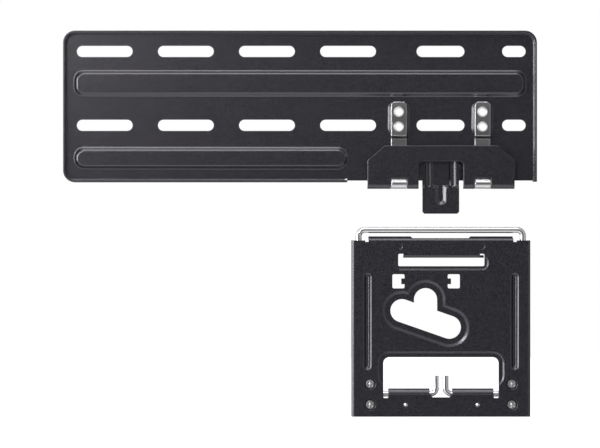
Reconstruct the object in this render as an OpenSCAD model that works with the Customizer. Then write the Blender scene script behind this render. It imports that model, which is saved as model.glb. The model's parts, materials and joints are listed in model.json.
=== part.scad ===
// Low-profile wall mount for a flat television: a slotted wall plate with a hinged latch flap,
// and the bracket for the television with its fold-out wire stand.
// The set stands upright as it is used. The wall plate's back lies in the plane y = 0, the viewer
// is on the -Y side, and the origin is the middle of the wall plate's back.

/* [Wall plate] */
// Width of the wall plate
plate_w = 379; // [340:1:460]
// Height of the wall plate, over its lip
plate_h = 121.4; // [116:0.2:150]
// Thickness of the wall plate's sheet
plate_t = 2; // [1.5:0.1:3]
// Radius of the wall plate's corners
plate_corner = 9.7; // [7:0.1:16]
// How far the lip's edge stands off the wall
lip_h = 6.5; // [5.5:0.1:10]
// Inside radius of the bend between sheet and lip
lip_bend = 1; // [0.5:0.1:2]
// Chamfer of the lip's edge
lip_edge = 0.5; // [0.2:0.1:0.7]
// How far the plain bottom edge lies above the lip's bottom
plain_rise = 1.5; // [0.5:0.1:3]
// Distance from the wall plate's right edge to the middle of the latch
latch_side = 76.9; // [70:0.1:100]

/* [Slots for the wall screws] */
// Width of every slot, for an 8 mm screw
slot_w = 9; // [7:0.1:11]
// Length of the long slots
slot_l = 44.8; // [30:0.1:52]
// Length of the slots between the hinge leaves
slot_mid_l = 38.4; // [20:0.1:42]
// Length of the slots at the right edge
slot_end_l = 18.9; // [12:0.1:22]
// Distance between the long slots
slot_pitch = 65; // [58:0.5:80]
// Distance from the left edge to the middle of the first long slot
slot_side = 33; // [30:0.5:45]
// Distance from the right edge to the middle of the end slots
slot_end_side = 18.1; // [15:0.1:24]
// Distance from the top edge to the upper row
row_drop = 16.4; // [13:0.1:22]
// Distance between the two rows
row_pitch = 59.2; // [52:0.1:66]

/* [Pressed ribs] */
// How far the ribs stand out of the sheet
rib_rise = 3; // [1.5:0.1:4]
// Width of a rib's sloping side
rib_slope = 4.4; // [3:0.1:6]
// Width of the upper rib
rib_upper_w = 22.3; // [16:0.1:26]
// Width of the lower rib
rib_lower_w = 19.1; // [14:0.1:22]
// Radius of the upper rib's corners
rib_upper_r = 8.6; // [7:0.1:10]
// Distance from the ribs' ends to the plate's edges
rib_side = 7.7; // [6:0.1:14]
// Distance from the upper row of slots down to the middle of the upper rib
rib_upper_drop = 25.75; // [22:0.05:30]
// Distance from the lower row of slots down to the middle of the lower rib
rib_lower_drop = 26.3; // [22:0.1:28]
// Distance from the lower rib's right end to the flap
rib_flap_gap = 14.5; // [5:0.5:30]

/* [Hinge leaves] */
// Width of a leaf
leaf_w = 12.2; // [9:0.1:14]
// Thickness of a leaf
leaf_t = 1.6; // [1:0.1:2.2]
// Distance from the middle of the latch to each leaf
leaf_x = 33.5; // [32:0.1:38]
// Height of a leaf's top above the lower row of slots
leaf_up = 18.6; // [16:0.1:20]
// Chamfer of the leaf's top corners
leaf_chamfer = 2; // [0.5:0.1:3]
// Distance from the leaf's top to the start of its jog
jog_drop = 27; // [26:0.1:30]
// Length of the jog
jog_l = 2.5; // [2:0.1:4]
// How far the boss under a leaf stands out of the sheet
boss_rise = 2; // [1:0.1:3]
// Width of the boss
boss_w = 17.9; // [17:0.1:20]
// Width of the boss's sloping side
boss_slope = 2.8; // [2:0.1:3.5]
// Radius of the boss's corners
boss_r = 6.5; // [4:0.1:8]
// Diameter of the hole through a leaf's rivet
eyelet_bore = 6.2; // [4:0.1:7]
// Wall of a leaf's rivet
eyelet_wall = 0.4; // [0.3:0.05:0.8]
// How far a leaf's rivet is turned over, past its wall
eyelet_rim = 0.6; // [0.3:0.05:0.8]
// Distance from the leaf's top to its upper rivet
eyelet_drop = 8; // [7:0.1:10]
// Distance between a leaf's rivets
eyelet_pitch = 11.9; // [10:0.1:13]

/* [Latch flap] */
// Width of the flap
flap_w = 117.4; // [110:0.2:130]
// Height of the flap above its hinge
flap_h = 30.4; // [26:0.1:34]
// Thickness of the flap
flap_t = 1.6; // [1:0.1:2.2]
// Width of the slanting cut at the flap's upper corners
flap_cut_w = 13.5; // [6:0.1:18]
// Height of the slanting cut
flap_cut_h = 11.6; // [6:0.1:16]
// Radius of the flap's corners
flap_r = 2.4; // [1:0.1:3]
// Width of the arch over the tongue
arch_w = 35.8; // [33:0.1:38]
// Height of the arch above the hinge
arch_h = 17.9; // [12:0.1:20]
// Radius of the arch's corners
arch_r = 3.6; // [2:0.1:6]
// Room at each side of a leaf's knuckle
knuckle_gap = 0.4; // [0.4:0.1:2]
// Diameter of the hinge pins
pin_d = 5; // [4:0.1:6]
// How far the hinge lies below the plain bottom edge
hinge_drop = 2.6; // [2:0.1:5]
// Clearance around the hinge pins and the wire, in their curls
fit = 0.08; // [0.03:0.01:0.1]

/* [Tongue] */
// Width of the tongue
tongue_w = 29.4; // [24:0.1:31]
// How far the tongue reaches below the plain bottom edge
tongue_l = 26.6; // [20:0.1:32]
// How far the tongue's root stands out of the sheet
root_rise = 1.8; // [1.7:0.1:2]
// How far the root reaches above the plain bottom edge
root_up = 22; // [12:0.5:24]
// How far the pad at the tongue's end stands out of the root
pad_rise = 2; // [1:0.1:2.2]
// Distance from the middle to each groove
groove_x = 9.5; // [9:0.1:10]
// Radius of the grooves
groove_r = 3.5; // [3:0.1:3.6]
// Depth of the grooves
groove_deep = 1.6; // [1:0.1:1.7]
// Length of the channel in the pad
channel_l = 15.2; // [8:0.1:16]
// Half width of the channel at the pad's face
channel_half = 4.9; // [4.5:0.1:5]

/* [Television bracket] */
// Width of the bracket
tv_w = 143; // [140:0.5:170]
// Height of the bracket
tv_h = 140.8; // [139:0.2:170]
// Thickness of its sheet
tv_t = 2; // [1.5:0.1:2.5]
// Inside radius of its bends
tv_bend = 0.5; // [0.3:0.1:1]
// Distance from the wall plate down to the bracket's top edge
tv_gap = 46.4; // [44:0.2:80]
// How far the top bend lies above the top edge
top_over = 1.8; // [1:0.1:4]
// How far the ears rise above the top bend
ear_rise = 1.4; // [1:0.1:4]
// Distance from the middle to the ears
ear_in = 22.6; // [12:0.1:40]
// Slant of the ears' inner ends
ear_slant = 1.4; // [0.5:0.1:3]
// Width of the cuts beside the top bend
relief_w = 2.7; // [2:0.1:4]
// Distance from the wire's legs to the top bend's ends
ear_side = 5.45; // [5:0.05:12]

/* [Openings of the bracket] */
// Width of the upper window
hook_w = 68.9; // [50:0.1:80]
// Height of the upper window
hook_h = 9.9; // [8:0.1:12]
// Distance from the top edge to the upper window
hook_drop = 10.7; // [9:0.1:12]
// How far the hook strip hangs into the upper window
strip_drop = 3.2; // [2.6:0.1:4]
// Room at the left end of the hook strip
strip_gap = 4.1; // [2:0.1:6]
// Width of the square holes
square_w = 9.7; // [7:0.1:10]
// Height of the square holes
square_h = 11.3; // [8:0.1:12]
// Distance from the top edge to the square holes
square_drop = 27; // [26.5:0.1:28]
// Width of the tab in a square hole
barb_w = 2.6; // [1:0.1:4]
// Height of the tab
barb_h = 4.6; // [2:0.1:8]
// Radius of the keyhole slot's ends
cloud_r = 9.2; // [7:0.1:10.5]
// Radius of the keyhole's upper lobe
lobe_r = 9.3; // [7:0.1:10]
// Length of the slanting slot, between the centres of its ends
cloud_l = 40.2; // [30:0.1:42]
// Slant of the slot
cloud_tilt = 19.3; // [10:0.1:24]
// Distance from the top edge to the centre of the slot's left end
cloud_drop = 56.1; // [54:0.1:57]
// Width of the pressed margin around the keyhole, with its slope
cloud_margin = 7.3; // [4:0.1:8]
// Depth of the pressed margins
margin_deep = 1.1; // [0.5:0.1:1.5]
// Height of the lower window, above the wire
low_h = 29.7; // [20:0.1:32]
// Distance from the rivets to the lower window
low_side = 10.5; // [9.6:0.1:20]
// Radius of the lower window's upper corners
low_r = 4.9; // [2:0.1:8]
// Width of the pressed margin around the lower window, with its slope
low_margin = 4.6; // [3:0.1:4.8]
// Half width of a side groove
side_half = 3.6; // [2.5:0.1:4]
// Depth of a side groove
side_deep = 2.4; // [1:0.1:3]
// Distance from the top edge to a side groove
side_drop = 25.7; // [20:0.1:40]
// Distance from a side groove's lower end to the wire
side_up = 19.2; // [17:0.1:40]

/* [Wire stand] */
// Diameter of the wire
wire_d = 4.9; // [4:0.1:6]
// Distance from the bracket's bottom edge to the wire's lower run
wire_up = 17.9; // [16:0.1:24]
// How far the top bar lies above the bracket's top edge
wire_over = 8.3; // [7.5:0.1:20]
// Radius of the wire's corners
wire_bend = 4.6; // [4.2:0.1:9]
// Room between the wire's legs and the side flanges
leg_gap = 1.35; // [0.8:0.05:3]
// Room between the wire and the face
wire_gap = 0.3; // [0.3:0.05:0.6]
// Distance from the middle to each finger
finger_x = 3.8; // [3.4:0.1:5]
// Radius of the fingers' bends
finger_bend = 4.8; // [4.2:0.1:6]
// How far the fingers reach above the wire's lower run
finger_h = 14.7; // [10:0.1:20]
// Room at each end of the curls that hold the wire
curl_gap = 0.5; // [0.4:0.1:2]
// Width of the cuts beside the curls
curl_relief = 4.1; // [3:0.1:6]

/* [Saddles and rivets] */
// Width of a saddle
saddle_w = 9; // [7:0.1:10]
// Thickness of a saddle
saddle_t = 1.5; // [1:0.1:2]
// Distance from the wire to a saddle's rivets
rivet_off = 8.3; // [8:0.1:9]
// Distance from a saddle's rivets to its ends
saddle_end = 4.2; // [3.5:0.1:4.4]
// How far the side flanges stand behind the saddles
saddle_margin = 0.6; // [0.3:0.1:2]
// Diameter of a rivet's shank
rivet_d = 4; // [3:0.1:4.5]
// Diameter of a rivet's head
rivet_head = 6.6; // [6:0.1:7]
// Diameter of the dished seat around a rivet's head
seat_d = 9.2; // [8.4:0.1:9.6]
// Depth of the dished seat
seat_deep = 1.2; // [0.8:0.05:1.3]

/* [Hidden] */
BLACK = [0.16, 0.16, 0.18];
PLATED = [0.6, 0.6, 0.61];
BRIGHT = [0.82, 0.82, 0.84];
$fn = 96;
// Facets across a pressed slope and around a rounded corner
STEPS = 6;
// Depth by which a form starts inside the sheet that carries it
SUNK = 0.5;
// Length by which a cut runs past what it cuts
PAST = 1;

// Wall plate
lip_out = lip_bend + plate_t;
plate_top = plate_h / 2;
plain_y = plain_rise - plate_h / 2;
latch_x = plate_w / 2 - latch_side;
row_y = [plate_top - row_drop, plate_top - row_drop - row_pitch];
slot_x0 = slot_side - plate_w / 2;
slot_room = latch_x - leaf_x - boss_w / 2 - slot_l / 2 - slot_x0;
slot_columns = 1 + floor(slot_room / slot_pitch);
rib_left = rib_side - plate_w / 2;
flap_left = latch_x - flap_w / 2;
rib_lower_right = flap_left - rib_flap_gap;
lip_end = rib_lower_right - 1.6;

// Hinge, as heights from the wall and places on the plate
pin_r = pin_d / 2;
leaf_top = row_y[1] + leaf_up;
boss_top = leaf_top + 0.5;
boss_l = jog_drop + 0.6;
boss_y = boss_top - boss_l / 2;
boss_h = plate_t + boss_rise;
knuckle_r = pin_r + fit + leaf_t;
barrel_r = pin_r + fit + flap_t;
hinge_y = plain_y - hinge_drop;
hinge_h = plate_t + max(knuckle_r, barrel_r);
eyelet_r = eyelet_bore / 2;
eyelet_y = [leaf_top - eyelet_drop, leaf_top - eyelet_drop - eyelet_pitch];

// Tongue
root_h = plate_t + root_rise;
pad_h = root_h + pad_rise;
root_side = 2;
step_l = 2.3;
groove_h = root_h + groove_r - groove_deep;
groove_end = plain_y - 3.6;
groove_top = plain_y + root_up - 5;
channel_slope = 3.6;
channel_end = groove_end - step_l / 2 - channel_l;

// Bracket, as heights from the wall and places down from its top edge
wire_r = wire_d / 2;
bore_r = wire_r + fit;
tv_out = tv_bend + tv_t;
tv_depth = tv_t + wire_gap + wire_d + fit + saddle_t + saddle_margin;
tv_back = tv_depth - tv_t;
tv_y = -plate_h / 2 - tv_gap;
wire_h = tv_back - wire_gap - wire_r;
wire_y = wire_up - tv_h;
leg_x = tv_w / 2 - tv_t - leg_gap - wire_r;
top_half = leg_x - wire_r - ear_side;
saddle_x = leg_x - wire_bend - saddle_w / 2;
side_x = leg_x - wire_r - side_half - 0.85;
low_half = saddle_x - low_side;
curl_in = finger_x + finger_bend + curl_gap;
curl_out = low_half - curl_relief;
curl_h = tv_depth - 0.2;
hook_x = 0.3;
hook_slope = 1.4;
hook_margin = 3.3;
hook_press = hook_h + 2;
low_slope = 1.6;
low_press = low_h - 0.9;
cloud_slope = 3.7;
cloud_x = -31.2;
lobe_x = -12.3;
lobe_y = 8.7 - cloud_drop;
square_x = [-34, 10.2];
dimple_at = [32.9, -4.9];
tap_x = 28.7;
tap_up = 9.8;
tap_r = 1;
rivet_r = rivet_d / 2;
seat_h = tv_depth - seat_deep;

// Stands the flat set upright: what faced up faces the viewer
module upright()
    rotate([90, 0, 0])
        children();

// Section drawn as (up, towards the viewer), carried along X for a length
module along_x(length)
    rotate([90, 0, 90])
        linear_extrude(length, center = true)
            children();

// Rectangle with round corners, centred
module rounded_rect(w, h, r) {
    square([w - 2 * r, h], center = true);
    square([w, h - 2 * r], center = true);
    for (sx = [-1, 1], sy = [-1, 1])
        translate([sx * (w / 2 - r), sy * (h / 2 - r)])
            circle(r);
}

// Points of an arc that rounds the corner b between a and c
function arc_corner(a, b, c, r) =
    let (u = (a - b) / norm(a - b),
         v = (c - b) / norm(c - b),
         half = acos(u * v) / 2,
         centre = b + (u + v) / norm(u + v) * r / sin(half),
         first = b + u * r / tan(half) - centre,
         last = b + v * r / tan(half) - centre,
         start = atan2(first[1], first[0]),
         sweep = (atan2(last[1], last[0]) - start + 540) % 360 - 180)
    [for (i = [0:STEPS]) centre + r * [cos(start + sweep * i / STEPS), sin(start + sweep * i / STEPS)]];

// Outline whose corners are rounded by their own radii, and left sharp where that is 0
function rounded(points, radii) =
    let (n = len(points))
    [for (i = [0:n - 1])
        each (radii[i] == 0 ? [points[i]]
            : arc_corner(points[(i + n - 1) % n], points[i], points[(i + 1) % n], radii[i]))];

// Fall from rise to 0 over run, starting at x = from
function s_step(from, run, rise, steps = STEPS) =
    [for (i = [0:steps]) [from + run * i / steps, rise * (1 + cos(180 * i / steps)) / 2]];

// Half of a pressed form's section, from its middle to its outer edge
function half_section(half, run, rise, below, steps) =
    concat([[0, -below], [0, rise]], s_step(half - run, run, rise, steps), [[half, -below]]);

// Pressed pad with round corners and smooth slopes, standing on z = 0 and centred
module pad(w, h, r, run, rise, below) {
    slope = concat([[0, -below]], s_step(0, run, rise), [[run, -below]]);
    translate([0, 0, -below])
        linear_extrude(rise + below)
            rounded_rect(w - 2 * run, h - 2 * run, r - run);
    for (turn = [0, 180]) {
        rotate(turn)
            translate([w / 2 - run, 0, 0])
                rotate([90, 0, 0])
                    linear_extrude(h - 2 * r, center = true)
                        polygon(slope);
        rotate(turn + 90)
            translate([h / 2 - run, 0, 0])
                rotate([90, 0, 0])
                    linear_extrude(w - 2 * r, center = true)
                        polygon(slope);
    }
    for (corner = [[0, 0, 0], [1, 0, 90], [1, 1, 180], [0, 1, 270]])
        translate([(0.5 - corner[0]) * (w - 2 * r), (0.5 - corner[1]) * (h - 2 * r), 0])
            rotate(corner[2])
                rotate_extrude(angle = 90)
                    translate([r - run, 0])
                        polygon(slope);
}

// Pressed bead with round ends along X, its length between the centres of its ends
module bead(length, half, run, rise, below, steps = STEPS) {
    section = half_section(half, run, rise, below, steps);
    along_x(length)
        for (side = [0, 1])
            mirror([side, 0])
                polygon(section);
    for (turn = [0, 180])
        rotate(turn)
            translate([length / 2, 0, 0])
                rotate(-90)
                    rotate_extrude(angle = 180)
                        polygon(section);
}

// Round slot of a given length, through the wall plate
module slot(length)
    translate([0, 0, -PAST])
        linear_extrude(plate_t + 2 * PAST) {
            square([length - slot_w, slot_w], center = true);
            for (side = [-1, 1])
                translate([side * (length - slot_w) / 2, 0])
                    circle(slot_w / 2);
        }

// Quarter of a bent sheet: from flat at the left to upright at the right, outside at x = 0
module quarter_bend(inside, thick) {
    outside = inside + thick;
    intersection() {
        difference() {
            circle(outside);
            circle(inside);
        }
        mirror([0, 1])
            square(outside);
    }
}

// Section of the wall plate's lip, with x = 0 on its outer face
module lip_section() {
    translate([-lip_out, lip_out])
        quarter_bend(lip_bend, plate_t);
    translate([0, lip_h])
        polygon([[0, lip_out - lip_h], [0, -lip_edge], [-lip_edge, 0], [lip_edge - plate_t, 0],
            [-plate_t, -lip_edge], [-plate_t, lip_out - lip_h]]);
}

module lip_run(length)
    rotate([90, 0, 0])
        linear_extrude(length, center = true)
            lip_section();

// Lip along the left, the top, the right and part of the bottom
module lip() {
    side_l = plate_h - 2 * plate_corner;
    right_l = plate_h - plate_corner - 0.5;
    bottom_l = lip_end + plate_w / 2 - plate_corner;
    translate([plate_w / 2, plate_top - plate_corner - right_l / 2, 0])
        lip_run(right_l);
    translate([-plate_w / 2, 0, 0])
        rotate(180)
            lip_run(side_l);
    translate([0, plate_top, 0])
        rotate(90)
            lip_run(plate_w - 2 * plate_corner);
    difference() {
        translate([lip_end - bottom_l / 2, -plate_top, 0])
            rotate(270)
                lip_run(bottom_l);
        translate([lip_end, -plate_top, -PAST])
            rotate(-45)
                cube([3 * plate_t, 6 * plate_t, 2 * lip_h], center = true);
    }
    for (corner = [[1, 1, 0], [-1, 1, 90], [-1, -1, 180]])
        translate([corner[0] * (plate_w / 2 - plate_corner), corner[1] * (plate_top - plate_corner), 0])
            rotate(corner[2])
                rotate_extrude(angle = 90)
                    translate([plate_corner, 0])
                        lip_section();
}

// The plate's flat sheet, inside the bend of the lip, down to the plain bottom edge
module web()
    linear_extrude(plate_t) {
        rounded_rect(plate_w - 2 * lip_out, plate_h - 2 * lip_out, plate_corner - lip_out);
        translate([lip_end, plain_y])
            square([plate_w / 2 - lip_out - lip_end, plate_corner]);
    }

// Both ribs, or what they leave hollow behind them
module ribs(below) {
    lower_l = rib_lower_right - rib_left;
    translate([0, row_y[0] - rib_upper_drop, 0])
        pad(plate_w - 2 * rib_side, rib_upper_w, rib_upper_r, rib_slope, rib_rise, below);
    translate([rib_left + lower_l / 2, row_y[1] - rib_lower_drop, 0])
        pad(lower_l, rib_lower_w, rib_lower_w / 2 - 0.1, rib_slope, rib_rise, below);
}

// The bosses that carry the leaves, or what they leave hollow
module bosses(below)
    for (side = [-1, 1])
        translate([latch_x + side * leaf_x, boss_y, 0])
            pad(boss_w, boss_l, boss_r, boss_slope, boss_rise, below);

// Raised root of the tongue on the plate, or what it leaves hollow
module root(below)
    intersection() {
        translate([latch_x, plain_y, 0])
            pad(tongue_w + 2 * root_side, 2 * root_up, 2 * root_side, root_side, root_rise, below);
        translate([latch_x - tongue_w, plain_y, -PAST - below])
            cube([2 * tongue_w, 2 * root_up, lip_h + 2 * PAST + below]);
    }

// Section of the tongue below the plate: the root's level, a step, and the pad's level
module tongue_section() {
    tip = plain_y - tongue_l;
    falling = [for (i = [0:STEPS]) [groove_end - step_l * i / STEPS,
        root_h + pad_rise * (1 - cos(180 * i / STEPS)) / 2]];
    under = [for (i = [STEPS:-1:0]) falling[i] - [0, plate_t]];
    polygon(concat([[plain_y + SUNK, root_h]], falling, [[tip, pad_h], [tip, pad_h - plate_t]],
        under, [[plain_y + SUNK, root_h - plate_t]]));
}

// Grooves of the root, as the sheet behind them or as what is open in front
module tongue_grooves(r)
    for (side = [-1, 1])
        translate([latch_x + side * groove_x, groove_end, groove_h]) {
            rotate([-90, 0, 0])
                cylinder(h = groove_top - groove_end, r = r);
            sphere(r);
        }

// Channel of the pad, opening into the root's level at its top
module channel(shift)
    translate([latch_x, 0, pad_h - shift])
        mirror([0, 0, 1])
            translate([0, (groove_end + channel_end + channel_half) / 2, 0])
                rotate(90)
                    bead(groove_end - channel_end - channel_half, channel_half, channel_slope, pad_rise, SUNK);

module tongue() {
    tip = plain_y - tongue_l;
    cut = 2.2;
    difference() {
        union() {
            translate([latch_x, 0, 0])
                along_x(tongue_w)
                    tongue_section();
            intersection() {
                channel(plate_t);
                translate([latch_x - tongue_w / 2, tip, 0])
                    cube([tongue_w, groove_end - step_l / 4 - tip, pad_h - plate_t + SUNK / 2]);
            }
        }
        channel(0);
        for (side = [-1, 1])
            translate([latch_x + side * tongue_w / 2, tip, 0])
                rotate(45)
                    cube([cut, cut, 4 * pad_h], center = true);
    }
}

module wall_plate()
    color(BLACK)
        upright()
            difference() {
                union() {
                    difference() {
                        union() {
                            web();
                            lip();
                            translate([0, 0, plate_t]) {
                                ribs(SUNK);
                                bosses(SUNK);
                                root(SUNK);
                            }
                        }
                        ribs(PAST);
                        bosses(PAST);
                        root(PAST);
                    }
                    tongue();
                    intersection() {
                        tongue_grooves(groove_r + plate_t);
                        translate([latch_x - tongue_w / 2, groove_end - 2 * groove_r, 0])
                            cube([tongue_w, 2 * root_up, root_h - plate_t / 2]);
                    }
                }
                tongue_grooves(groove_r);
                for (y = row_y) {
                    for (i = [0:slot_columns - 1])
                        translate([slot_x0 + i * slot_pitch, y, 0])
                            slot(slot_l);
                    translate([latch_x, y, 0])
                        slot(slot_mid_l);
                    translate([plate_w / 2 - slot_end_side, y, 0])
                        slot(slot_end_l);
                }
                for (side = [-1, 1], y = eyelet_y)
                    translate([latch_x + side * leaf_x, y, -PAST])
                        cylinder(h = boss_h + 2 * PAST, r = eyelet_r + eyelet_wall + fit);
            }

// Curl at the edge of a sheet, around (0, 0): the sheet runs on to the right, in front of the bore
module curl(r_in, thick)
    difference() {
        circle(r_in + thick);
        circle(r_in);
        polygon([for (a = [-20, 14, 48]) 3 * r_in * [cos(a), sin(a)], [0, 0]]);
    }

module hinge_leaf(side)
    color(PLATED)
        upright()
            translate([latch_x + side * leaf_x, 0, 0]) {
                jog = leaf_top - jog_drop;
                difference() {
                    along_x(leaf_w) {
                        translate([jog, boss_h])
                            square([jog_drop, leaf_t]);
                        polygon([[jog, boss_h], [jog, boss_h + leaf_t], [jog - jog_l, plate_t + leaf_t],
                            [jog - jog_l, plate_t]]);
                        translate([hinge_y, plate_t])
                            square([jog - jog_l - hinge_y, leaf_t]);
                        translate([hinge_y, plate_t + knuckle_r])
                            mirror([0, 1])
                                curl(pin_r + fit, leaf_t);
                    }
                    for (corner = [-1, 1])
                        translate([corner * leaf_w / 2, leaf_top, 0])
                            rotate(45)
                                cube([sqrt(2) * leaf_chamfer, sqrt(2) * leaf_chamfer, 4 * boss_h], center = true);
                    for (y = eyelet_y)
                        translate([0, y, 0])
                            cylinder(h = 2 * boss_h, r = eyelet_r + eyelet_wall + fit);
                }
            }

// Hollow rivet through a leaf and its boss, turned over at both ends
module leaf_rivet(side, row) {
    shank = eyelet_r + eyelet_wall;
    rim = shank + eyelet_rim;
    edge = 0.5;
    front = boss_h + leaf_t;
    color(PLATED)
        upright()
            translate([latch_x + side * leaf_x, eyelet_y[row], 0])
                rotate_extrude()
                    polygon([[eyelet_r, boss_h - plate_t - edge], [rim, boss_h - plate_t - edge],
                        [rim, boss_h - plate_t], [shank, boss_h - plate_t], [shank, front], [rim, front],
                        [rim, front + edge / 2], [rim - edge / 2, front + edge],
                        [eyelet_r + edge / 2, front + edge], [eyelet_r, front + edge / 2]]);
}

module hinge_pin(side) {
    length = (flap_w - arch_w) / 2;
    color(PLATED)
        upright()
            translate([latch_x + side * (arch_w + length) / 2, hinge_y, hinge_h])
                rotate([0, 90, 0])
                    cylinder(h = length, r = pin_r, center = true);
}

// Outline of the flap above its hinge, with the arch and the cuts for the leaves' knuckles
module flap_outline() {
    half = flap_w / 2;
    notch = leaf_w / 2 + knuckle_gap;
    notch_h = barrel_r + 0.4;
    difference() {
        polygon(rounded([[-half, 0], [half, 0], [half, flap_h - flap_cut_h], [half - flap_cut_w, flap_h],
            [flap_cut_w - half, flap_h], [-half, flap_h - flap_cut_h]], [0, 0, flap_r, flap_r, flap_r, flap_r]));
        polygon(rounded([[-arch_w / 2, -PAST], [arch_w / 2, -PAST], [arch_w / 2, arch_h],
            [-arch_w / 2, arch_h]], [0, 0, arch_r, arch_r]));
        for (side = [-1, 1])
            translate([side * leaf_x, 0])
                polygon(rounded([[-notch, -PAST], [notch, -PAST], [notch, notch_h], [-notch, notch_h]],
                    [0, 0, 0.8, 0.8]));
    }
}

module latch_flap() {
    notch = leaf_w / 2 + knuckle_gap;
    spans = [[arch_w / 2, leaf_x - notch], [leaf_x + notch, flap_w / 2]];
    color(BLACK)
        upright()
            translate([latch_x, hinge_y, hinge_h]) {
                translate([0, 0, pin_r + fit])
                    linear_extrude(flap_t)
                        flap_outline();
                for (side = [-1, 1], span = spans)
                    translate([side * (span[0] + span[1]) / 2, 0, 0])
                        along_x(span[1] - span[0])
                            curl(pin_r + fit, flap_t);
            }
}

// Section of a channel: a face at the given depth with two flanges down to y = 0
module channel_section(w, depth, r) {
    translate([-w / 2, 0])
        square([w, depth - r]);
    translate([r - w / 2, 0])
        square([w - 2 * r, depth]);
    for (side = [-1, 1])
        translate([side * (w / 2 - r), depth - r])
            circle(r);
}

// The bracket's face with its side flanges
module tv_shell()
    rotate([90, 0, 0])
        linear_extrude(tv_h)
            difference() {
                channel_section(tv_w, tv_depth, tv_out);
                translate([0, -PAST])
                    channel_section(tv_w - 2 * tv_t, tv_back + PAST, tv_bend);
            }

// Section of the face's sheet bent back through a right angle, outside at x = 0
module bent_section(reach, back) {
    translate([-reach, tv_back])
        square([reach - tv_out, tv_t]);
    translate([-tv_out, tv_depth - tv_out])
        mirror([0, 1])
            quarter_bend(tv_bend, tv_t);
    translate([-tv_t, back])
        square([tv_t, tv_depth - tv_out - back]);
}

// Top bend with the hooked ears at its back
module top_bend() {
    ear_top = top_over + ear_rise;
    translate([0, top_over, 0])
        along_x(2 * top_half)
            bent_section(2 * tv_out, 0);
    for (side = [0, 1])
        mirror([side, 0, 0])
            linear_extrude(tv_t)
                polygon([[ear_in + ear_slant, top_over - tv_t], [top_half, top_over - tv_t],
                    [top_half, ear_top], [ear_in + ear_slant, ear_top], [ear_in, ear_top - ear_rise],
                    [ear_in, top_over - tv_t]]);
}

// The keyhole's opening: a slanting slot with a round lobe above it
module cloud_outline() {
    translate([cloud_x, -cloud_drop])
        rotate(-cloud_tilt) {
            circle(cloud_r);
            translate([cloud_l, 0])
                circle(cloud_r);
            translate([0, -cloud_r])
                square([cloud_l, 2 * cloud_r]);
        }
    translate([lobe_x, lobe_y])
        circle(lobe_r);
    translate([lobe_x - lobe_r, lobe_y - cloud_r - 4])
        square([2 * lobe_r, cloud_r + 4 - 1.7]);
}

// The pressed margin around the keyhole, cut into the face or left behind it
module cloud_press(shift, below) {
    lobe_l = 15;
    translate([0, 0, tv_depth - shift])
        mirror([0, 0, 1]) {
            translate([cloud_x, -cloud_drop, 0])
                rotate(-cloud_tilt)
                    translate([cloud_l / 2, 0, 0])
                        bead(cloud_l, cloud_r + cloud_margin, cloud_slope, margin_deep, below, 3);
            translate([lobe_x, lobe_y - lobe_l / 2, 0])
                rotate(90)
                    bead(lobe_l, lobe_r + cloud_margin, cloud_slope, margin_deep, below, 3);
        }
}

// The pressed margins around the two windows, and the side grooves
module face_press(shift, below) {
    low_w = 2 * (low_half + low_margin);
    groove_l = tv_h - wire_up - side_up - side_drop - 2 * side_half;
    cloud_press(shift, below);
    translate([0, 0, tv_depth - shift])
        mirror([0, 0, 1]) {
            translate([0, wire_y + low_h + low_margin - low_press / 2, 0])
                pad(low_w, low_press, low_r + low_margin, low_slope, margin_deep, below);
            translate([hook_x, -hook_drop - hook_h - hook_margin + hook_press / 2, 0])
                pad(hook_w + 2 * hook_margin, hook_press, 5, hook_slope, margin_deep, below);
            for (side = [-1, 1])
                translate([side * side_x, -side_drop - side_half - groove_l / 2, 0])
                    rotate(90)
                        bead(groove_l, side_half, side_half - 0.4, side_deep, below);
        }
}

// Lower window, with the reliefs beside and between the curls
module low_window() {
    relief = 3;
    middle = 2.4;
    polygon(rounded([[-low_half, wire_y], [low_half, wire_y], [low_half, wire_y + low_h],
        [-low_half, wire_y + low_h]], [0, 0, low_r, low_r]));
    for (side = [0, 1])
        mirror([side, 0])
            polygon(rounded([[curl_out, wire_y + PAST], [curl_out, wire_y - relief],
                [low_half, wire_y - relief], [low_half, wire_y + PAST]], [0, 1.2, 1.2, 0]));
    polygon([[-curl_in, wire_y + PAST], [-curl_in, wire_y], [middle - curl_in, wire_y - middle],
        [curl_in - middle, wire_y - middle], [curl_in, wire_y], [curl_in, wire_y + PAST]]);
}

// Everything that is punched through the bracket's face
module openings()
    translate([0, 0, tv_back - 3 * PAST])
        linear_extrude(tv_t + 5 * PAST) {
            low_window();
            cloud_outline();
            translate([hook_x, -hook_drop - hook_h / 2])
                rounded_rect(hook_w, hook_h, 1.2);
            for (x = square_x)
                translate([x, -square_drop - square_h / 2])
                    rounded_rect(square_w, square_h, 1.2);
            for (side = [-1, 1])
                translate([side * (top_half + relief_w / 2), 0])
                    square([relief_w, 2 * 1.2], center = true);
        }

// Dished seats and holes for the rivets, the dimples and the two small tapped holes
module drillings()
    for (side = [-1, 1]) {
        for (row = [-1, 1])
            translate([side * saddle_x, wire_y + row * rivet_off, 0]) {
                translate([0, 0, seat_h])
                    cylinder(h = seat_deep, r1 = seat_d / 2 - 0.8, r2 = seat_d / 2);
                cylinder(h = tv_depth + PAST, r = rivet_r + fit);
            }
        translate([side * dimple_at[0], dimple_at[1], tv_depth - 0.6])
            cylinder(h = 0.6 + PAST, r1 = 1.8, r2 = 3.2);
        translate([side * tap_x, tap_up - tv_h, 0]) {
            translate([0, 0, tv_depth - 1])
                cylinder(h = 1 + PAST, r1 = tap_r, r2 = 3.2);
            cylinder(h = tv_depth, r = tap_r);
        }
    }

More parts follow.
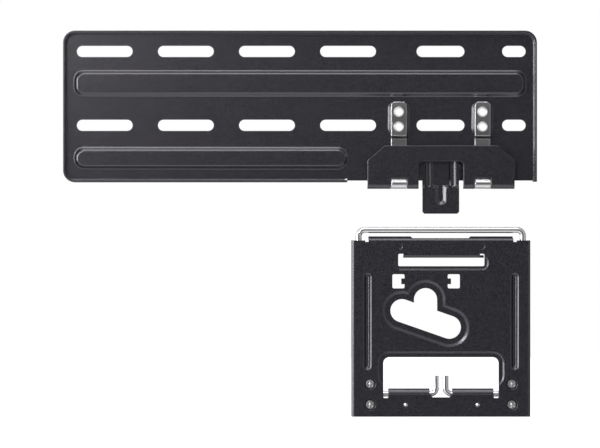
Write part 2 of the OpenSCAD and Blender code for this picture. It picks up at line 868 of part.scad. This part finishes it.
// Hook strip bent back from the upper window's top, with its wider tip at the right
module hook_strip() {
    foot = 0.6;
    right = hook_x + hook_w / 2;
    strip_l = hook_w - 2 * strip_gap + 0.4;
    outside = hook_drop + strip_drop;
    translate([hook_x + 0.2, -outside, 0])
        mirror([0, 1, 0])
            along_x(strip_l)
                bent_section(strip_drop + SUNK, foot);
    translate([right - strip_gap - 1, -outside, foot])
        cube([strip_gap + 0.7, tv_t, tv_back / 2]);
}

// Tabs that reach into the square holes, from the sides that face each other
module barbs()
    for (i = [0, 1])
        mirror([i, 0, 0])
            translate([(i == 0 ? square_x[0] : -square_x[1]) + square_w / 2 - barb_w,
                -square_drop - square_h / 2 - barb_h / 2, tv_back])
                cube([barb_w + SUNK, barb_h, tv_t]);

// Curls of the window's lower edge, which the wire turns in
module wire_curls() {
    length = curl_out - curl_in;
    curl_run = 6;
    for (side = [-1, 1])
        translate([side * (curl_in + length / 2), wire_y, 0])
            along_x(length) {
                translate([0, wire_h])
                    mirror([1, 0])
                        curl(bore_r, curl_h - wire_h - bore_r);
                translate([-curl_run, tv_back])
                    square([curl_run, curl_h - tv_back]);
            }
}

module tv_plate()
    color(BLACK)
        upright()
            translate([latch_x, tv_y, 0]) {
                difference() {
                    union() {
                        tv_shell();
                        top_bend();
                        face_press(tv_t, SUNK);
                    }
                    face_press(0, PAST);
                    openings();
                    drillings();
                }
                hook_strip();
                barbs();
                wire_curls();
            }

// Quarter of a wire bend around the origin, from +X to +Y
module wire_corner(r)
    rotate_extrude(angle = 90)
        translate([r, 0])
            circle(wire_r);

module wire_stand() {
    top = tv_h - wire_up + wire_over;
    color(BRIGHT)
        upright()
            translate([latch_x, tv_y + wire_y, wire_h])
                for (side = [0, 1])
                    mirror([side, 0, 0]) {
                        rotate([0, 90, 0])
                            translate([0, top, 0])
                                cylinder(h = leg_x - wire_bend, r = wire_r);
                        translate([leg_x - wire_bend, top - wire_bend, 0])
                            wire_corner(wire_bend);
                        translate([leg_x, wire_bend, 0])
                            rotate([-90, 0, 0])
                                cylinder(h = top - 2 * wire_bend, r = wire_r);
                        translate([leg_x - wire_bend, wire_bend, 0])
                            rotate(-90)
                                wire_corner(wire_bend);
                        translate([finger_x + finger_bend, 0, 0])
                            rotate([0, 90, 0])
                                cylinder(h = leg_x - wire_bend - finger_x - finger_bend, r = wire_r);
                        translate([finger_x + finger_bend, finger_bend, 0])
                            rotate(180)
                                wire_corner(finger_bend);
                        translate([finger_x, finger_bend, 0])
                            rotate([-90, 0, 0])
                                cylinder(h = finger_h - finger_bend, r = wire_r);
                    }
}

// Strap bent around the wire, riveted behind the face
module wire_saddle(side) {
    outside = bore_r + saddle_t;
    reach = rivet_off + saddle_end;
    color(PLATED)
        upright()
            translate([latch_x + side * saddle_x, tv_y + wire_y, 0])
                difference() {
                    along_x(saddle_w)
                        difference() {
                            union() {
                                translate([-reach, tv_back - saddle_t])
                                    square([2 * reach, saddle_t]);
                                translate([-outside, wire_h])
                                    square([2 * outside, tv_back - wire_h]);
                                translate([0, wire_h])
                                    circle(outside);
                            }
                            translate([0, wire_h])
                                circle(bore_r);
                            translate([-bore_r, wire_h])
                                square([2 * bore_r, 2 * tv_depth]);
                            translate([-reach, tv_back])
                                square([2 * reach, tv_depth]);
                        }
                    for (row = [-1, 1])
                        translate([0, row * rivet_off, 0])
                            cylinder(h = tv_depth, r = rivet_r + fit);
                }
}

// Solid rivet through the face and a saddle
module saddle_rivet(side, row) {
    tail = tv_back - saddle_t;
    head = rivet_head / 2;
    color(PLATED)
        upright()
            translate([latch_x + side * saddle_x, tv_y + wire_y + row * rivet_off, 0])
                rotate_extrude()
                    polygon([[0, tail - 1], [head - 0.8, tail - 1], [head - 0.3, tail - 0.6], [head - 0.3, tail],
                        [rivet_r, tail], [rivet_r, seat_h], [head, seat_h], [head, seat_h + 0.6],
                        [head - 0.5, seat_h + 0.95], [0, seat_h + 1.1]]);
}

wall_plate();
latch_flap();
hinge_leaf(-1);  // hinge_leaf_left
hinge_leaf(1);  // hinge_leaf_right
hinge_pin(-1);  // hinge_pin_left
hinge_pin(1);  // hinge_pin_right
leaf_rivet(-1, 0);  // leaf_rivet_left_upper
leaf_rivet(-1, 1);  // leaf_rivet_left_lower
leaf_rivet(1, 0);  // leaf_rivet_right_upper
leaf_rivet(1, 1);  // leaf_rivet_right_lower
tv_plate();
wire_stand();
wire_saddle(-1);  // wire_saddle_left
wire_saddle(1);  // wire_saddle_right
saddle_rivet(-1, 1);  // saddle_rivet_left_upper
saddle_rivet(-1, -1);  // saddle_rivet_left_lower
saddle_rivet(1, 1);  // saddle_rivet_right_upper
saddle_rivet(1, -1);  // saddle_rivet_right_lower
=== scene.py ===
"""Looks of the TV mount: refined skins, finishes, studio light and the camera of the photograph."""

import json
import math

import bmesh
import bpy
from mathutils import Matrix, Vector


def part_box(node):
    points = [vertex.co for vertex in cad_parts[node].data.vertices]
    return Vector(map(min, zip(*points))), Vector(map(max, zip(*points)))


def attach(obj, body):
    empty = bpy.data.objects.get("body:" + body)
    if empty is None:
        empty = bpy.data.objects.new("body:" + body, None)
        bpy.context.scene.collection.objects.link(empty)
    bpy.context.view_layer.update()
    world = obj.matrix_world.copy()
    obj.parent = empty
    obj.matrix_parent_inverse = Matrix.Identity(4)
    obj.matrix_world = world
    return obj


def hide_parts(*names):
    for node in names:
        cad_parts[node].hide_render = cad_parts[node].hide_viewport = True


MM = 0.001

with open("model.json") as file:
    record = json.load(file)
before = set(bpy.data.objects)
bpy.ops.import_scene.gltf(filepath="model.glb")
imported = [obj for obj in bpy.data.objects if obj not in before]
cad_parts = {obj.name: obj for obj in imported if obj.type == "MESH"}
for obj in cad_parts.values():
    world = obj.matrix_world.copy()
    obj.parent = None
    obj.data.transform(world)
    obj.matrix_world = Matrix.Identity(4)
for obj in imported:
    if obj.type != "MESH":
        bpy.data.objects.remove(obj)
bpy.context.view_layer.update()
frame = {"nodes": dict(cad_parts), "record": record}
record = frame["record"]
slot_of = {p["node"]: p["material_slot"] for p in record["subparts"]}
body_of = {n: b for b, names in record["behaviour"]["bodies"].items() for n in names}


# Nodes

NOISE_MIDDLE = (0.3, 0.7)


def add_node(tree, kind, **values):
    """Adds a node and sets its sockets by name, or its own properties."""
    made = tree.nodes.new(kind)
    for key, value in values.items():
        if key in made.inputs:
            made.inputs[key].default_value = value
        else:
            setattr(made, key, value)
    return made


def map_range(tree, source, old, new, **values):
    """Maps the range old of a socket onto the range new."""
    made = add_node(tree, "ShaderNodeMapRange", **values)
    for name, value in zip(("From Min", "From Max", "To Min", "To Max"), (*old, *new)):
        made.inputs[name].default_value = value
    tree.links.new(source, made.inputs["Value"])
    return made.outputs["Result"]


# Finishes

BLOTCH_SCALE, SHEEN_SCALE = 38, 95
GRAIN_DEPTH = 0.1 * MM


def metal_finish(name, dark, light, rough, metallic, grain, bump, edge,
                 stretch=(1, 1, 1), specular=0.5, speckle=0.3, tint=(1, 1, 1)):
    """Painted or plated metal: blotches of colour, uneven gloss, a fine grain and softly broken edges."""
    made = bpy.data.materials.new(name)
    made.use_nodes = True
    made.diffuse_color = (*light, 1)
    tree = made.node_tree
    shader = tree.nodes["Principled BSDF"]
    shader.inputs["Metallic"].default_value = metallic
    shader.inputs["Specular IOR Level"].default_value = specular
    shader.inputs["Specular Tint"].default_value = (*tint, 1)
    place = add_node(tree, "ShaderNodeTexCoord")
    drawn_out = add_node(tree, "ShaderNodeMapping", Scale=stretch)
    tree.links.new(place.outputs["Object"], drawn_out.inputs["Vector"])

    def noise(scale, detail, source):
        texture = add_node(tree, "ShaderNodeTexNoise", Scale=scale, Detail=detail, Roughness=0.6)
        tree.links.new(source, texture.inputs["Vector"])
        return texture.outputs["Fac"]

    even, stretched = place.outputs["Object"], drawn_out.outputs["Vector"]
    blotches = map_range(tree, noise(BLOTCH_SCALE, 4, even), NOISE_MIDDLE, (0, 1 - speckle))
    specks = map_range(tree, noise(grain, 1, even), NOISE_MIDDLE, (0, speckle))
    both = add_node(tree, "ShaderNodeMath", operation="ADD")
    tree.links.new(blotches, both.inputs[0])
    tree.links.new(specks, both.inputs[1])
    blend = add_node(tree, "ShaderNodeMix", data_type="RGBA")
    blend.inputs[6].default_value = (*dark, 1)
    blend.inputs[7].default_value = (*light, 1)
    tree.links.new(both.outputs[0], blend.inputs[0])
    tree.links.new(blend.outputs[2], shader.inputs["Base Color"])
    sheen = map_range(tree, noise(SHEEN_SCALE, 3, stretched), NOISE_MIDDLE, rough)
    tree.links.new(sheen, shader.inputs["Roughness"])
    broken = add_node(tree, "ShaderNodeBevel", samples=6, Radius=edge)
    relief = add_node(tree, "ShaderNodeBump", Strength=bump, Distance=GRAIN_DEPTH)
    tree.links.new(noise(grain, 2, stretched), relief.inputs["Height"])
    tree.links.new(broken.outputs["Normal"], relief.inputs["Normal"])
    tree.links.new(relief.outputs["Normal"], shader.inputs["Normal"])
    return made


# The grain's scale keeps the noise's lattice off the wall plate's face, where it would vanish
COAT = dict(dark=(0.0005, 0.0005, 0.002), light=(0.018, 0.017, 0.022), metallic=0, rough=(0.25, 0.27),
            grain=1130, bump=0.3, specular=1, speckle=0.97, tint=(0.95, 0.93, 1))
PLATING = dict(dark=(0.60, 0.60, 0.61), light=(0.66, 0.66, 0.67), metallic=1)

FINISHES = {name: metal_finish(name, **look) for name, look in {
    "black_coat": dict(COAT, edge=0.3 * MM),
    "flap_coat": dict(COAT, edge=1.0 * MM),
    "plated_steel": dict(PLATING, rough=(0.18, 0.24), grain=500, bump=0.2, edge=0.8 * MM, stretch=(0.05, 1, 1)),
    "eyelet_steel": dict(PLATING, rough=(0.4, 0.45), grain=1500, bump=0.03, edge=0.08 * MM),
    "rivet_steel": dict(dark=(0.42, 0.42, 0.42), light=(0.5, 0.5, 0.5), metallic=1, rough=(0.28, 0.34),
                        grain=1500, bump=0.05, edge=0.1 * MM),
    "bright_wire": dict(dark=(0.72, 0.72, 0.74), light=(0.8, 0.8, 0.82), metallic=1, rough=(0.10, 0.18),
                        grain=900, bump=0.06, edge=0.1 * MM),
}.items()}

# Pieces that look different from the rest of their material slot
OWN_FINISH = {"leaf_rivet": "eyelet_steel", "latch_flap": "flap_coat"}


# Pieces

# Bends sharper than this stay as edges
SMOOTH_LIMIT = math.radians(27)
# Faces closer in angle than this belong to one flat region
FLAT_LIMIT = math.radians(0.4)
WELD_GAP = 0.002 * MM
EMPTY_EDGE = 1e-7


def flat_areas(work):
    """Area of the flat region around each face, by the face's index."""
    area = [None] * len(work.faces)
    for seed in work.faces:
        if area[seed.index] is not None:
            continue
        group, stack = {seed}, [seed]
        while stack:
            for edge in stack.pop().edges:
                if len(edge.link_faces) == 2 and edge.calc_face_angle(1) < FLAT_LIMIT:
                    found = [f for f in edge.link_faces if f not in group]
                    group.update(found)
                    stack.extend(found)
        total = sum(f.calc_area() for f in group)
        for face in group:
            area[face.index] = total
    return area


def smooth_fan(vert, left):
    """Takes one face out of left, and all that join it smoothly around the vertex."""
    seed = left.pop()
    fan, stack = [seed], [seed]
    while stack:
        for edge in stack.pop().edges:
            if vert in edge.verts and edge.smooth:
                found = [f for f in edge.link_faces if f in left]
                left.difference_update(found)
                fan.extend(found)
                stack.extend(found)
    return fan


def corner_normals(work):
    """Normals for every face corner: smooth over small bends, and led by the larger flat region there."""
    work.faces.index_update()
    work.normal_update()
    area = flat_areas(work)
    normal = {}
    for vert in work.verts:
        left = set(vert.link_faces)
        while left:
            fan = smooth_fan(vert, left)
            total = sum((face.normal * area[face.index] for face in fan), Vector((0, 0, 0))).normalized()
            for face in fan:
                normal[face.index, vert.index] = total
    return [normal[face.index, corner.vert.index] for face in work.faces for corner in face.loops]


def stand_in(node, work, finish):
    """Turns a bmesh into the piece shown for a CAD node: smooth, sharp at its real edges, on the node's body."""
    for face in work.faces:
        face.smooth = True
    for edge in work.edges:
        edge.smooth = len(edge.link_faces) == 2 and edge.calc_face_angle(0) < SMOOTH_LIMIT
    work.verts.index_update()
    normals = corner_normals(work)
    mesh = bpy.data.meshes.new(node + "_skin")
    work.to_mesh(mesh)
    work.free()
    if "custom_normal" in mesh.attributes:
        mesh.attributes.remove(mesh.attributes["custom_normal"])
    mesh.materials.clear()
    mesh.materials.append(FINISHES[finish])
    mesh.normals_split_custom_set(normals)
    made = bpy.data.objects.new(node + "_skin", mesh)
    bpy.context.scene.collection.objects.link(made)
    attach(made, body_of[node])
    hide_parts(node)
    return made


def skin(node):
    """A copy of a CAD node with its facets joined into smooth surfaces."""
    work = bmesh.new()
    work.from_mesh(frame["nodes"][node].data)
    bmesh.ops.remove_doubles(work, verts=work.verts, dist=WELD_GAP)
    bmesh.ops.dissolve_degenerate(work, dist=EMPTY_EDGE, edges=work.edges)
    own = [finish for start, finish in OWN_FINISH.items() if node.startswith(start)]
    return stand_in(node, work, own[0] if own else slot_of[node])


def punched_rivet(node):
    """A saddle's rivet with its head as it was set: a raised cross between four punch marks, with painted shade
    on the marks' sunken faces.
    """
    low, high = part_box(node)
    middle = (low + high) / 2
    front, back = low.y, high.y
    head = (high.x - low.x) / 2
    head_rim, head_edge, head_back = head - 0.5 * MM, front + 0.5 * MM, front + 1.1 * MM
    shank = 2 * MM
    tail, tail_rim, tail_front, tail_edge = head - 0.3 * MM, head - 0.8 * MM, back - MM, back - 0.4 * MM
    crown, crown_width, rim_fall = 0.35 * MM, 0.8 * MM, 0.1 * MM
    mark_out, mark_reach, mark_width, mark_depth = 1.25 * MM, MM, 0.42 * MM, 0.9 * MM
    # Depth band and reach of the painted shade: sunken faces this far behind the head's front, near its middle,
    # are painted black as shade
    painted_shade_from, painted_shade_to, painted_shade_within = 0.75 * MM, 1.4 * MM, 2.4 * MM
    rings, around = 16, 64

    def face_depth(x, z):
        """How far the head's face lies behind its highest point."""
        away = math.hypot(x, z)
        mark = min(math.hypot(abs(x) - mark_out, abs(z) - mark_out), mark_reach)
        dome = crown * (1 - math.exp(-((away / crown_width) ** 2))) + rim_fall * (away / head_rim) ** 4
        return dome + mark_depth * math.exp(-((mark / mark_width) ** 2))

    work = bmesh.new()
    circles = [[work.verts.new((middle.x, front + face_depth(0, 0), middle.z))]]
    face = [(head_rim * (i + 1) / rings, None) for i in range(rings)]
    sides = [(head, head_edge), (head, head_back), (shank, head_back),
             (shank, tail_front), (tail, tail_front), (tail, tail_edge), (tail_rim, back)]
    for radius, y in face + sides:
        circle = []
        for i in range(around):
            turn = 2 * math.pi * i / around
            x, z = radius * math.cos(turn), radius * math.sin(turn)
            depth = front + face_depth(x, z) if y is None else y
            circle.append(work.verts.new((middle.x + x, depth, middle.z + z)))
        circles.append(circle)
    circles.append([work.verts.new((middle.x, back, middle.z))])
    for inner, outer in zip(circles, circles[1:]):
        for i in range(around):
            corners = [inner[i % len(inner)], inner[(i + 1) % len(inner)],
                       outer[(i + 1) % len(outer)], outer[i % len(outer)]]
            work.faces.new(list(dict.fromkeys(corners)))
    bmesh.ops.recalc_face_normals(work, faces=work.faces)
    made = stand_in(node, work, slot_of[node])
    # Painted shade: the punch marks' sunken faces take the black coat in place of the shade in their hollows
    made.data.materials.append(FINISHES["black_coat"])
    for polygon in made.data.polygons:
        at = polygon.center - Vector((middle.x, front, middle.z))
        polygon.material_index = int(painted_shade_from < at.y < painted_shade_to and math.hypot(at.x, at.z) < painted_shade_within)
    return made


for node in frame["nodes"]:
    if node.startswith("saddle_rivet"):
        punched_rivet(node)
    else:
        skin(node)
    frame["nodes"][node].data.materials.clear()
    frame["nodes"][node].data.materials.append(FINISHES[slot_of[node]])


# Stage

# Half the room's light along the line of sight, from the camera's side (0) to behind the set (1)
ROOM = ((0, 0.05), (0.015, 0.06), (0.08, 0.48), (0.3, 0.55), (0.56, 0.55), (0.64, 0.06), (0.73, 0.06), (0.8, 0.4))
# The room is brighter on the left: where it changes, in the direction's x, and the levels there
SIDE_TURN, SIDE_LEVELS = (-0.1, 0.6), (2.2, 1)


def make_world():
    """A white ground for the camera, and a room with dark and bright bands for the metal to mirror."""
    world = bpy.data.worlds.new("studio")
    bpy.context.scene.world = world
    world.use_nodes = True
    tree = world.node_tree
    tree.nodes.clear()
    out = add_node(tree, "ShaderNodeOutputWorld")
    seen = add_node(tree, "ShaderNodeBackground", Color=(1, 1, 1, 1), Strength=1)
    room = add_node(tree, "ShaderNodeBackground", Color=(1, 1, 1, 1), Strength=1)
    place = add_node(tree, "ShaderNodeTexCoord")
    split = add_node(tree, "ShaderNodeSeparateXYZ")
    tree.links.new(place.outputs["Generated"], split.inputs[0])
    ramp = add_node(tree, "ShaderNodeValToRGB")
    stops = ramp.color_ramp.elements
    for _ in ROOM[2:]:
        stops.new(0.5)
    for stop, (at, level) in zip(stops, ROOM):
        stop.position = at
        stop.color = (level, level, level, 1)
    half = add_node(tree, "ShaderNodeMath", operation="MULTIPLY_ADD")
    half.inputs[1].default_value = half.inputs[2].default_value = 0.5
    tree.links.new(split.outputs["Y"], half.inputs[0])
    tree.links.new(half.outputs[0], ramp.inputs["Fac"])
    side = map_range(tree, split.outputs["X"], SIDE_TURN, SIDE_LEVELS, interpolation_type="SMOOTHSTEP")
    power = add_node(tree, "ShaderNodeMath", operation="MULTIPLY")
    tree.links.new(ramp.outputs["Color"], power.inputs[0])
    tree.links.new(side, power.inputs[1])
    tree.links.new(power.outputs[0], room.inputs["Strength"])
    path = add_node(tree, "ShaderNodeLightPath")
    gloss = add_node(tree, "ShaderNodeMixShader")
    tree.links.new(path.outputs["Is Camera Ray"], gloss.inputs[0])
    tree.links.new(room.outputs[0], gloss.inputs[1])
    tree.links.new(seen.outputs[0], gloss.inputs[2])
    tree.links.new(gloss.outputs[0], out.inputs[0])


FLOOR_LEVEL = 0.92
FLOOR_GLOW = 0.6
FLOOR_RADIUS = 6
FLOOR_HEIGHT = -0.52


def make_floor():
    """A pale floor below the set, white where nothing shades it, and open from underneath."""
    made = bpy.data.materials.new("floor")
    made.use_nodes = True
    tree = made.node_tree
    shader = tree.nodes["Principled BSDF"]
    shader.inputs["Base Color"].default_value = (FLOOR_LEVEL, FLOOR_LEVEL, FLOOR_LEVEL, 1)
    shader.inputs["Roughness"].default_value = 0.9
    glow = add_node(tree, "ShaderNodeEmission", Color=(1, 1, 1, 1))
    both = add_node(tree, "ShaderNodeAddShader")
    path = add_node(tree, "ShaderNodeLightPath")
    scale = add_node(tree, "ShaderNodeMath", operation="MULTIPLY")
    scale.inputs[1].default_value = FLOOR_GLOW
    tree.links.new(path.outputs["Is Camera Ray"], scale.inputs[0])
    tree.links.new(scale.outputs[0], glow.inputs["Strength"])
    tree.links.new(shader.outputs[0], both.inputs[0])
    tree.links.new(glow.outputs[0], both.inputs[1])
    under = add_node(tree, "ShaderNodeBsdfTransparent")
    facing = add_node(tree, "ShaderNodeNewGeometry")
    pick = add_node(tree, "ShaderNodeMixShader")
    tree.links.new(facing.outputs["Backfacing"], pick.inputs[0])
    tree.links.new(both.outputs[0], pick.inputs[1])
    tree.links.new(under.outputs[0], pick.inputs[2])
    tree.links.new(pick.outputs[0], tree.nodes["Material Output"].inputs["Surface"])
    work = bmesh.new()
    bmesh.ops.create_circle(work, cap_ends=True, segments=64, radius=FLOOR_RADIUS)
    mesh = bpy.data.meshes.new("floor")
    work.to_mesh(mesh)
    work.free()
    mesh.materials.append(made)
    floor = bpy.data.objects.new("floor", mesh)
    floor.location = (0, 0, FLOOR_HEIGHT)
    floor.visible_glossy = False
    bpy.context.scene.collection.objects.link(floor)


def make_lamp(name, place, aim, size, power):
    """A rectangular lamp that the camera doesn't see, in watts."""
    data = bpy.data.lights.new(name, "AREA")
    data.shape = "RECTANGLE"
    data.size, data.size_y = size
    data.energy = power
    made = bpy.data.objects.new(name, data)
    made.location = place
    made.visible_camera = False
    made.rotation_mode = "QUATERNION"
    made.rotation_quaternion = (Vector(aim) - Vector(place)).to_track_quat("-Z", "Y")
    bpy.context.scene.collection.objects.link(made)


# The width that the photograph covers, and the middle of its view on the plates' front
VIEW_WIDTH = 0.48
VIEW_MIDDLE = (0, -0.005, -0.094)


def make_camera():
    """The photograph's camera, straight in front of the set."""
    data = bpy.data.cameras.new("camera")
    data.lens = 150
    data.sensor_width = 36
    data.clip_end = 50
    made = bpy.data.objects.new("camera", data)
    x, y, z = VIEW_MIDDLE
    made.location = (x, y - VIEW_WIDTH * data.lens / data.sensor_width, z)
    made.rotation_euler = (math.radians(90), 0, 0)
    bpy.context.scene.collection.objects.link(made)
    bpy.context.scene.camera = made


make_world()
make_floor()
make_lamp("key", place=(-0.85, -2.2, 0.65), aim=(-0.1, 0, 0), size=(0.5, 0.5), power=14)
make_lamp("left", place=(-2.0, -0.85, 0.2), aim=(0, 0, -0.05), size=(1.2, 1.4), power=42)
make_lamp("top", place=(-0.2, -0.7, 2.0), aim=(0, 0, -0.05), size=(1.6, 0.8), power=14)
make_camera()
bpy.context.scene.view_settings.view_transform = "Standard"
